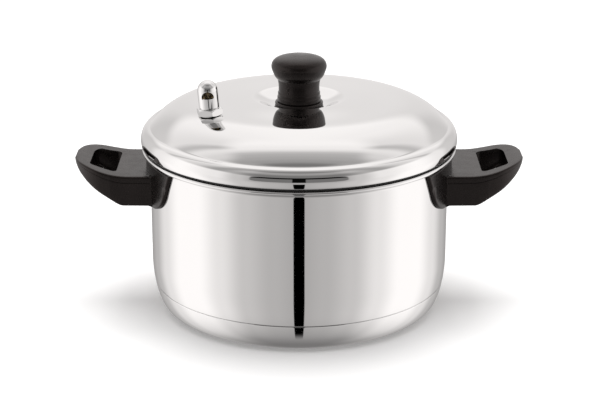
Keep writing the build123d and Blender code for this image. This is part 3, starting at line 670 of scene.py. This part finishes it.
def make_whistle():
    """The hexagonal base and the bell with its half-moon mouth."""
    place = vent_matrix()
    rows = [(THROAT, MOUTH_TOP), (MOUTH, MOUTH_TOP), (MOUTH, HEX_BOTTOM)]
    rows += hex_band(HEX_BOTTOM, HEX_TOP)
    rows += [(SPIGOT, HEX_TOP), (SPIGOT, SPIGOT_TOP - 0.2), (SPIGOT - 0.2, SPIGOT_TOP)]
    rows += [(1.6, SPIGOT_TOP), (1.6, 7.6), (THROAT, 7.6)]
    base = turned_mesh("whistle_hexagon", rows)
    base.transform(place)
    finish_mesh("whistle_hexagon", base, "whistle", STEEL, ["whistle_base"])

    inner = BELL_RADIUS - BELL_WALL
    shoulder = BELL_TOP - BELL_RADIUS
    rows = [(0, BELL_TOP)] + arc((0, shoulder), (BELL_RADIUS, BELL_RADIUS), 87, 0, 32)
    rows += [(BELL_RADIUS, z) for z in np.linspace(shoulder - 1, HEX_TOP + 0.3, 12)]
    rows += [(BELL_RADIUS - 0.08, HEX_TOP + 0.08), (BELL_RADIUS - 0.25, HEX_TOP), (inner, HEX_TOP)]
    rows += [(inner, z) for z in np.linspace(HEX_TOP + 1, shoulder - 1, 12)]
    rows += arc((0, shoulder), (inner, inner), 0, 87, 24) + [(0, shoulder + inner)]
    bell = turned_mesh("whistle_dome", rows)
    radius = (WINDOW_HALF**2 + WINDOW_HEIGHT**2) / (2 * WINDOW_HEIGHT)
    sweep = math.degrees(math.atan2(radius - WINDOW_HEIGHT, WINDOW_HALF))
    window = arc((0, WINDOW_SILL + WINDOW_HEIGHT - radius), (radius, radius), sweep, 180 - sweep, 40)
    cutter = prism_mesh("window_cutter", window, -12.0, 0.0, lambda a, b, d: (a, d, b))
    bell = boolean(bell, cutter, "DIFFERENCE")
    bell.transform(place)
    finish_mesh("whistle_dome", bell, "whistle", STEEL, ["whistle_bell"])


make_whistle()


# ---------------------------------------------------------------- side handles

GRIP_TOP = 106.7
GRIP_HALF = 35.7
SLOT_INNER = 131.8
SLOT_OUTER = 154.0
SLOT_MIDDLE = (SLOT_INNER + SLOT_OUTER) / 2
SLOT_INNER_HALF = 26.8
SLOT_OUTER_HALF = 21.5
FLANGE_INNER = 110.35
FLANGE_OUTER = 112.8
FLANGE_TOP_HALF = 65.0
FLANGE_BOTTOM_HALF = 51.5
FLANGE_CORNER = 22.0
SCREW_X = 120.5
COUNTERBORE = 5.1
COUNTERBORE_DEPTH = 4.6
SLOT_CORNER = 4.5
GRIP_AROUND = 300
EDGE_STEPS = 5                   # facets on each rounded edge of the grip
TOP_ROUND = 1.3
LOW_ROUND = 2.2
MOST_ROUND = 0.42                # of the grip's thickness
PARTING_LINE = [                 # up the outside: share of its height, depth
    (0.2, 0), (0.5, 0), (0.78, 0), (0.81, 0), (0.83, 0.16), (0.85, 0), (0.9, 0),
]
FLANGE_SOFT = 0.8                # radius of the flange's edges
NEAR_EDGE = [0, 0.03, 0.1, 0.22, 0.38, 0.58, 0.8]
FLANGE_COLUMNS = 60


def resample(points, count, closed=True):
    """Points spread evenly along a polyline."""
    p = np.array(points + ([points[0]] if closed else []), float)
    lengths = np.concatenate([[0], np.cumsum(np.linalg.norm(np.diff(p, axis=0), axis=1))])
    at = np.linspace(0, lengths[-1], count + 1)[:-1] if closed else np.linspace(0, lengths[-1], count)
    return np.stack([np.interp(at, lengths, p[:, 0]), np.interp(at, lengths, p[:, 1])], 1)


def rounded_corners(corners, radius, steps=10):
    """A closed polygon with its corners rounded."""
    out = []
    count = len(corners)
    for k in range(count):
        p = np.array(corners[k], float)
        a = np.array(corners[k - 1], float) - p
        b = np.array(corners[(k + 1) % count], float) - p
        a /= np.linalg.norm(a)
        b /= np.linalg.norm(b)
        half = math.acos(float(a @ b)) / 2
        back = radius / math.tan(half)
        middle = p + (a + b) / np.linalg.norm(a + b) * radius / math.sin(half)
        start = p + a * back - middle
        end = p + b * back - middle
        first = math.atan2(start[1], start[0])
        turn = (math.atan2(end[1], end[0]) - first + math.pi) % (2 * math.pi) - math.pi
        for step in range(steps + 1):
            angle = first + turn * step / steps
            out.append(tuple(middle + radius * np.array([math.cos(angle), math.sin(angle)])))
    return out


TOP_XZ = np.array(smooth_run([
    (104.0, GRIP_TOP), (118.0, GRIP_TOP + 0.05), (128.0, GRIP_TOP + 0.2), (143.0, 109.6), (156.0, 113.2),
    (GRIP_REACH, 114.3),
], 0.0, 0.0, 160)).T
UNDER_XZ = np.array(smooth_run([
    (127.5, GRIP_BOTTOM), (136.0, 88.2), (148.0, 95.8), (159.0, 105.0), (GRIP_REACH, 112.3),
], 0.0, 1.9, 120)).T


def grip_top(x):
    """Height of the grip's top face, by distance out."""
    return float(np.interp(x, *TOP_XZ))


def grip_underside(x):
    """Height of its underside."""
    return float(np.interp(x, *UNDER_XZ))


def grip_outline():
    """Plan outline of the grip, from the root at -Y, round the nose, and back along the pot."""
    nose = smooth_angle([
        (137, 34.9), (145, 33.35), (152, 30.0), (157, 25.8), (161, 20.5), (163.4, 14.5), (GRIP_REACH, 9.0),
    ], 80)
    half = [(FLANGE_INNER - 6.5, GRIP_HALF)] + nose + [(GRIP_REACH, 4.5), (GRIP_REACH, 0.0)]
    lower = [(x, -y) for x, y in half[:-1]]
    root = [(math.sqrt(FLANGE_OUTER**2 - y * y) - 1.2, y) for y in np.linspace(GRIP_HALF, -GRIP_HALF, 40)]
    return lower + half[::-1] + root[1:-1]


def slot_outline(start):
    """Plan outline of the finger slot, with its first point at a bearing from its middle."""
    slot = resample(rounded_corners([
        (SLOT_INNER, -SLOT_INNER_HALF), (SLOT_OUTER, -SLOT_OUTER_HALF),
        (SLOT_OUTER, SLOT_OUTER_HALF), (SLOT_INNER, SLOT_INNER_HALF),
    ], SLOT_CORNER), GRIP_AROUND)
    off = np.arctan2(slot[:, 1], slot[:, 0] - SLOT_MIDDLE) - start
    nearest = int(np.argmin(np.abs((off + math.pi) % (2 * math.pi) - math.pi)))
    return np.roll(slot, -nearest, axis=0)


def loop_normals(loop):
    """Unit normals of a closed counter-clockwise loop, pointing out."""
    along = np.roll(loop, -1, axis=0) - np.roll(loop, 1, axis=0)
    along /= np.linalg.norm(along, axis=1)[:, None]
    return np.stack([along[:, 1], -along[:, 0]], 1)


def rounded_edge(point, normal, radius, angle, up):
    """A point on a rounded edge: angle 0 on the wall and 90 on the top or underside, against the normal."""
    a = math.radians(angle)
    q = point - normal * radius * (1 - math.cos(a))
    z = grip_top(q[0]) if up else grip_underside(q[0])
    drop = radius * (1 - math.sin(a))
    return (q[0], q[1], z - drop if up else z + drop)


def flat_run(start, end, height):
    """Points across the top or the underside, between two rounded edges."""
    first, last = np.array(start[:2]), np.array(end[:2])
    places = [first + (last - first) * t for t in np.linspace(0, 1, 8)[1:-1]]
    return [(place[0], place[1], height(place[0])) for place in places]


def grip_section(outer, out_normal, inner, in_normal):
    """One section through the moulding, from its outside to the slot and back underneath.

    Both normals point away from the middle of their outlines. So the outside is rounded into the
    moulding, and the slot's edges end in a small lip over the slot.
    """
    thick_out = MOST_ROUND * (grip_top(outer[0]) - grip_underside(outer[0]))
    thick_in = MOST_ROUND * (grip_top(inner[0]) - grip_underside(inner[0]))
    out_top, out_low = min(TOP_ROUND, thick_out), min(LOW_ROUND, thick_out)
    in_top, in_low = min(TOP_ROUND, thick_in), min(LOW_ROUND, thick_in)
    rise = np.linspace(0, 90, EDGE_STEPS + 1)
    fall = np.linspace(90, 0, EDGE_STEPS + 1)
    ring = [rounded_edge(outer, out_normal, out_top, a, True) for a in rise]
    ring += flat_run(ring[-1], rounded_edge(inner, in_normal, in_top, 90, True), grip_top)
    ring += [rounded_edge(inner, in_normal, in_top, a, True) for a in fall]
    high, low = ring[-1][2], rounded_edge(inner, in_normal, in_low, 0, False)[2]
    ring += [(inner[0], inner[1], high + (low - high) * t) for t in np.linspace(0, 1, 6)[1:-1]]
    ring += [rounded_edge(inner, in_normal, in_low, a, False) for a in rise]
    ring += flat_run(ring[-1], rounded_edge(outer, out_normal, out_low, 90, False), grip_underside)
    ring += [rounded_edge(outer, out_normal, out_low, a, False) for a in fall]
    low, high = ring[-1][2], ring[0][2]
    for t, sink in PARTING_LINE:
        place = outer - out_normal * sink
        ring.append((place[0], place[1], low + (high - low) * t))
    return ring


def make_grip_mesh():
    """A closed ring of moulding round the finger slot, with softened edges and a parting line."""
    outer = resample(grip_outline(), GRIP_AROUND)
    slot = slot_outline(math.atan2(outer[0][1], outer[0][0] - SLOT_MIDDLE))
    verts, rows = [], []
    for section in zip(outer, loop_normals(outer), slot, loop_normals(slot)):
        ring = grip_section(*section)
        rows.append(list(range(len(verts), len(verts) + len(ring))))
        verts += ring
    faces = []
    size = len(rows[0])
    for a, b in zip(rows, rows[1:] + rows[:1]):
        faces += [[a[j], b[j], b[(j + 1) % size], a[(j + 1) % size]] for j in range(size)]
    return mesh_from("grip", verts, faces)


def make_flange_mesh():
    """The curved backing flange, as two grids that meet along a softened edge."""
    height = FLANGE_TOP - GRIP_BOTTOM
    slope = (FLANGE_TOP_HALF - FLANGE_BOTTOM_HALF) / height
    lean = math.atan(slope)
    arc_x = FLANGE_BOTTOM_HALF - FLANGE_CORNER * math.tan((math.pi / 2 - lean) / 2)
    corner = (arc_x, GRIP_BOTTOM + FLANGE_CORNER)

    def half_width(z):
        """Half the flange's width at a height."""
        straight = FLANGE_BOTTOM_HALF + slope * (z - GRIP_BOTTOM)
        touch = corner[1] - FLANGE_CORNER * math.sin(lean)
        if z >= touch:
            return straight
        return corner[0] + math.sqrt(max(0.0, FLANGE_CORNER**2 - (corner[1] - z) ** 2))

    def inside(y, z):
        """Distance in from the flange's outline."""
        y = abs(y)
        side = (FLANGE_BOTTOM_HALF + slope * (z - GRIP_BOTTOM) - y) * math.cos(lean)
        least = min(side, z - GRIP_BOTTOM, FLANGE_TOP - z)
        if y > corner[0] and z < corner[1]:
            least = min(least, FLANGE_CORNER - math.dist((y, z), corner))
        return max(least, 0.0)

    bend = [1 - math.cos(t) for t in np.linspace(0.12, math.pi / 2, 16)]
    levels = [GRIP_BOTTOM + d for d in NEAR_EDGE]
    levels += [GRIP_BOTTOM + FLANGE_SOFT + (FLANGE_CORNER - FLANGE_SOFT) * t for t in bend]
    levels += list(np.linspace(corner[1] + 1, FLANGE_TOP - FLANGE_SOFT, 8))
    levels += [FLANGE_TOP - d for d in NEAR_EDGE[-2::-1]]
    outer_rows, inner_rows, verts = [], [], []
    for z in levels:
        w = half_width(z)
        ys = [d - w for d in NEAR_EDGE] + list(np.linspace(1.4 - w, w - 1.4, FLANGE_COLUMNS))
        ys += [w - d for d in NEAR_EDGE[::-1]]
        for rows, outward in ((outer_rows, True), (inner_rows, False)):
            row = []
            for y in ys:
                d = min(inside(y, z) / FLANGE_SOFT, 1.0)
                lift = math.sqrt(1 - (1 - d) ** 2)
                radius = FLANGE_OUTER - FLANGE_SOFT * (1 - lift) if outward else FLANGE_INNER
                row.append(len(verts))
                verts.append((math.sqrt(radius**2 - y * y), y, z))
            rows.append(row)
    faces = []
    size = len(outer_rows[0])
    strips = [pair for rows in (outer_rows, inner_rows) for pair in zip(rows, rows[1:])]
    strips += [(outer_rows[0], inner_rows[0]), (outer_rows[-1], inner_rows[-1])]
    for a, b in strips:
        faces += [[a[j], a[j + 1], b[j + 1], b[j]] for j in range(size - 1)]
    for j in (0, size - 1):
        for k in range(len(levels) - 1):
            faces.append([outer_rows[k][j], outer_rows[k + 1][j], inner_rows[k + 1][j], inner_rows[k][j]])
    return mesh_from("flange", verts, faces)


def make_handle(side, direction):
    """Grip and flange as one moulding, with the screw's counterbore below. The left one is mirrored."""
    shape = boolean(make_grip_mesh(), make_flange_mesh(), "UNION")
    circle = arc((SCREW_X, 0.0), (COUNTERBORE, COUNTERBORE), 0, 354, 60)
    bore = prism_mesh(
        "bore", circle, GRIP_BOTTOM - 2, GRIP_BOTTOM + COUNTERBORE_DEPTH, lambda a, b, z: (a, b, z),
    )
    shape = boolean(shape, bore, "DIFFERENCE")
    if direction < 0:
        shape.transform(Matrix.Scale(-1, 4, (1, 0, 0)))
        shape.flip_normals()
    finish_mesh(f"grip_{side}", shape, "pot", BAKELITE, [f"handle_{side}"])


for side_name, side_direction in SIDES.items():
    make_handle(side_name, side_direction)


# ---------------------------------------------------------------- studio

REFLECTANCE = 0.86               # of the polished steel, so that the levels below are what it shows
TINT = (("Red", 1.0), ("Green", 0.972), ("Blue", 0.962))
HALF_TURN = (0, 180)


def value(tree, operation, *inputs):
    """A Math node; inputs are numbers or sockets."""
    made = node(tree, "ShaderNodeMath", operation=operation)
    for index, item in enumerate(inputs):
        if isinstance(item, (int, float)):
            made.inputs[index].default_value = item
        else:
            tree.links.new(item, made.inputs[index])
    return made.outputs["Value"]


def linear(display):
    """A display level above 0.04 as a linear one."""
    return ((display + 0.055) / 1.055) ** 2.4


def seen(level):
    """The brightness that polished steel shows as a display level."""
    return linear(level) / REFLECTANCE


def level_ramp(tree, position, stops, low, high):
    """A brightness that follows stops of (position, level seen in the steel)."""
    scaled = node(tree, "ShaderNodeMapRange", {"From Min": low, "From Max": high})
    tree.links.new(position, scaled.inputs["Value"])
    made = node(tree, "ShaderNodeValToRGB")
    ramp = made.color_ramp
    ramp.interpolation = "EASE"
    while len(ramp.elements) < len(stops):
        ramp.elements.new(0.5)
    for element, (place, _) in zip(ramp.elements, stops):
        element.position = (place - low) / (high - low)
    for element, (_, level) in zip(ramp.elements, stops):
        element.color = (*[seen(level)] * 3, 1)
    tree.links.new(scaled.outputs["Result"], made.inputs["Fac"])
    split = node(tree, "ShaderNodeRGBToBW")
    tree.links.new(made.outputs["Color"], split.inputs["Color"])
    return split.outputs["Val"]


def between(tree, position, start, end):
    """0 before start, 1 after end, eased."""
    limits = {"From Min": start, "From Max": end}
    made = node(tree, "ShaderNodeMapRange", limits, interpolation_type="SMOOTHSTEP")
    tree.links.new(position, made.inputs["Value"])
    return made.outputs["Result"]


def blend(tree, factor, a, b):
    """a where the factor is 0 and b where it is 1."""
    made = node(tree, "ShaderNodeMix", data_type="FLOAT")
    tree.links.new(factor, made.inputs["Factor"])
    for item, name in ((a, "A"), (b, "B")):
        if isinstance(item, (int, float)):
            made.inputs[name].default_value = item
        else:
            tree.links.new(item, made.inputs[name])
    return made.outputs["Result"]


def product(tree, first, *others):
    """Several factors multiplied."""
    for other in others:
        first = value(tree, "MULTIPLY", first, other)
    return first


def open_studio(tree, azimuth, elevation, front):
    """The tent without its openings, in bands from the floor to the roof. Azimuth 0 is at the camera."""
    under = level_ramp(tree, azimuth, [
        (0, 0.57), (50, 0.58), (90, 0.74), (140, 0.66), (180, 0.58),
    ], *HALF_TURN)
    low = level_ramp(tree, azimuth, [
        (0, 0.66), (20, 0.70), (42, 0.77), (63, 0.90), (84, 1.0), (104, 1.0), (125, 0.89), (145, 0.71),
        (162, 0.62), (180, 0.55),
    ], *HALF_TURN)
    level = level_ramp(tree, azimuth, [
        (0, 0.63), (30, 0.66), (44, 0.77), (60, 0.92), (92, 1.0), (120, 0.92), (132, 0.80), (150, 0.78),
        (166, 0.85), (180, 0.88),
    ], *HALF_TURN)
    upper = level_ramp(tree, azimuth, [
        (0, 0.60), (30, 0.62), (47, 0.71), (66, 0.62), (90, 0.84), (104, 0.90), (114, 0.74), (124, 0.88),
        (160, 0.95), (180, 0.97),
    ], *HALF_TURN)
    crown = level_ramp(tree, front, [
        (-0.35, 0.97), (-0.15, 0.935), (-0.1, 0.89), (-0.05, 0.815), (-0.02, 0.745), (0.058, 0.69),
        (0.165, 0.65), (0.26, 0.60), (0.36, 0.46),
    ], -0.5, 0.5)
    underneath = blend(tree, between(tree, elevation, -50, -82), under, seen(0.46))
    brightness = blend(tree, between(tree, elevation, -30, -66), low, underneath)
    brightness = blend(tree, between(tree, elevation, -17, -6), brightness, level)
    brightness = blend(tree, between(tree, elevation, 20, 30), brightness, upper)
    brow = product(
        tree, between(tree, elevation, 47, 33), between(tree, azimuth, 62, 24),
        between(tree, elevation, 18, 24),
    )
    brightness = blend(tree, brow, brightness, seen(0.46))
    return blend(tree, between(tree, elevation, 54, 66), brightness, crown)


def dark_opening(tree, azimuth, elevation, brightness):
    """The rounded grey opening at the camera, with a black upper edge and a black core."""
    half_width, middle, half_height, roundness = 34.5, 7.5, 14.0, 6.0
    across = value(tree, "POWER", value(tree, "DIVIDE", azimuth, half_width), roundness)
    up = value(tree, "ABSOLUTE", value(tree, "SUBTRACT", elevation, middle))
    along = value(tree, "POWER", value(tree, "DIVIDE", up, half_height), roundness)
    inside = between(tree, value(tree, "ADD", across, along), 1.2, 0.85)
    shade = blend(tree, between(tree, elevation, 12.5, 14.0), seen(0.44), linear(0.05))
    shade = blend(tree, between(tree, azimuth, 5.2, 4.2), shade, 0.004)
    return blend(tree, inside, brightness, shade)


def dark_strip(tree, azimuth, elevation, brightness):
    """The narrow black gap below the camera."""
    strip = product(
        tree, between(tree, azimuth, 4.5, 3.9), between(tree, elevation, -64, -50),
        between(tree, elevation, -15.5, -17),
    )
    return blend(tree, strip, brightness, 0.0)


def make_studio():
    """A pale tent seen in the polished steel, bright at the sides, with a dark opening and a gap in front."""
    world = bpy.data.worlds.new("studio")
    bpy.context.scene.world = world
    world.use_nodes = True
    tree = world.node_tree
    direction = node(tree, "ShaderNodeTexCoord")
    split = node(tree, "ShaderNodeSeparateXYZ")
    tree.links.new(direction.outputs["Generated"], split.inputs["Vector"])
    x, y, z = (split.outputs[axis] for axis in "XYZ")
    degree = 180 / math.pi
    front = value(tree, "MULTIPLY", y, -1.0)
    azimuth = value(tree, "MULTIPLY", value(tree, "ARCTAN2", value(tree, "ABSOLUTE", x), front), degree)
    elevation = value(tree, "MULTIPLY", value(tree, "ARCSINE", z), degree)
    brightness = open_studio(tree, azimuth, elevation, front)
    brightness = dark_opening(tree, azimuth, elevation, brightness)
    brightness = dark_strip(tree, azimuth, elevation, brightness)
    colour = node(tree, "ShaderNodeCombineColor")
    for channel, tint in TINT:
        tree.links.new(value(tree, "MULTIPLY", brightness, tint), colour.inputs[channel])
    tree.links.new(colour.outputs["Color"], tree.nodes["Background"].inputs["Color"])


def make_floor():
    """A plain white table."""
    half = 6.0
    corners = [(-half, -half, 0), (half, -half, 0), (half, half, 0), (-half, half, 0)]
    mesh = bpy.data.meshes.new("table")
    mesh.from_pydata(corners, [], [(0, 1, 2, 3)])
    floor = bpy.data.objects.new("table", mesh)
    bpy.context.scene.collection.objects.link(floor)
    material, _, shader = new_material("table_white")
    shader.inputs["Base Color"].default_value = (0.8, 0.8, 0.8, 1)
    shader.inputs["Roughness"].default_value = 0.9
    shader.inputs["Specular IOR Level"].default_value = 0.0
    shader.inputs["Emission Color"].default_value = (1, 1, 1, 1)
    shader.inputs["Emission Strength"].default_value = 0.1
    mesh.materials.append(material)
    floor.visible_glossy = False


def make_overhead():
    """A large soft light above, aimed at the pot. The steel doesn't mirror it."""
    place = Vector((0, 0.12, 1.6))
    target = Vector((0, 0, 0.06))
    data = bpy.data.lights.new("overhead", "AREA")
    data.shape = "RECTANGLE"
    data.size, data.size_y = 1.25, 1.25
    data.energy = 29
    lamp = bpy.data.objects.new("overhead", data)
    bpy.context.scene.collection.objects.link(lamp)
    lamp.location = place
    lamp.rotation_mode = "QUATERNION"
    lamp.rotation_quaternion = (target - place).to_track_quat("-Z", "Y")
    lamp.visible_camera = False
    lamp.visible_glossy = False


def make_camera():
    """A long lens, a little above the lid and looking down at it."""
    looking_down = 18.97
    data = bpy.data.cameras.new("camera")
    camera = bpy.data.objects.new("camera", data)
    bpy.context.scene.collection.objects.link(camera)
    data.sensor_width = 36.0
    data.lens = 102.0
    camera.location = (0.0007, -1.203, 0.4846)
    camera.rotation_euler = (math.radians(90 - looking_down), 0, 0)
    data.clip_start, data.clip_end = 0.05, 50
    bpy.context.scene.camera = camera


make_studio()
make_floor()
make_overhead()
make_camera()
bpy.context.scene.view_settings.view_transform = "Standard"
